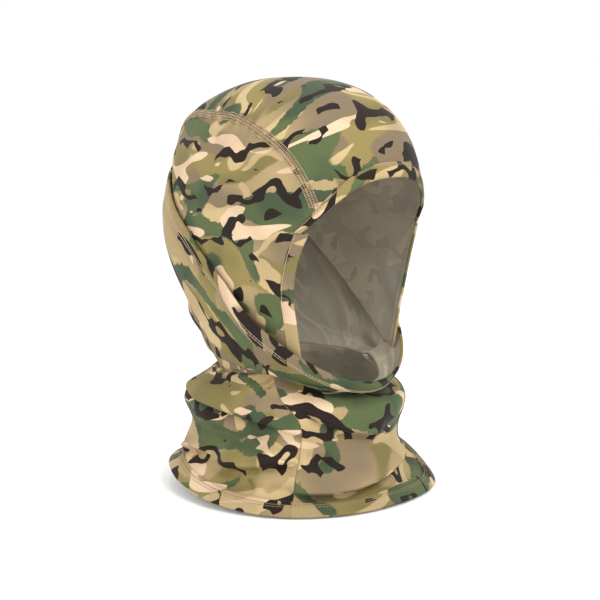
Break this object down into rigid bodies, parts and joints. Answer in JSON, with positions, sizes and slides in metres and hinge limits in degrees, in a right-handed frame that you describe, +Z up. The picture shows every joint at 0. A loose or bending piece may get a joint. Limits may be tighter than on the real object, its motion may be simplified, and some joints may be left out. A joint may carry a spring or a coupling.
{
  "type": "camouflage hood with pull-up mask",
  "caption": "Thin printed-knit hood with a face opening, a gaiter mask that pulls up over nose and mouth, and a long neck skirt.",
  "frame": {"origin": "inside of the crown, where the top of the wearer's head carries the hood", "axes": "+Z up along the wearer's neck, the face looks along -Y, +X is the wearer's left"},
  "size_m": [0.196, 0.2058, 0.301],
  "materials": {
    "printed_knit": "thin stretch knit of polyester, printed with a woodland camouflage, slight satin",
    "binding_knit": "the same printed knit, turned double as a hem or binding",
    "thread": "tan textured polyester sewing thread"
  },
  "bodies": {
    "root": {"crown_panel": "printed_knit", "side_panel_right": "printed_knit", "side_panel_left": "printed_knit", "brow_binding": "binding_knit", "brow_stitching": "thread", "cheek_hem_right": "binding_knit", "cheek_hem_left": "binding_knit", "cheek_stitching_right": "thread", "cheek_stitching_left": "thread", "crown_seam_right": "thread", "crown_seam_left": "thread", "nape_panel": "printed_knit", "nape_hem": "binding_knit", "nape_stitching": "thread", "neck_back_panel": "printed_knit", "neck_front_panel": "printed_knit", "neck_seam_right": "thread", "neck_seam_left": "thread", "bottom_hem_back": "binding_knit", "bottom_hem_front": "binding_knit", "bottom_stitching": "thread"},
    "mask": {"mask_panel": "printed_knit", "mask_hem": "binding_knit", "mask_stitching": "thread"}
  },
  "joints": [
    {"name": "mask_lift", "type": "hinge", "parent": "root", "child": "mask", "pos_m": [0, 0.082, -0.072], "axis": [-1, 0, 0], "range_deg": [0, 27]}
  ]
}
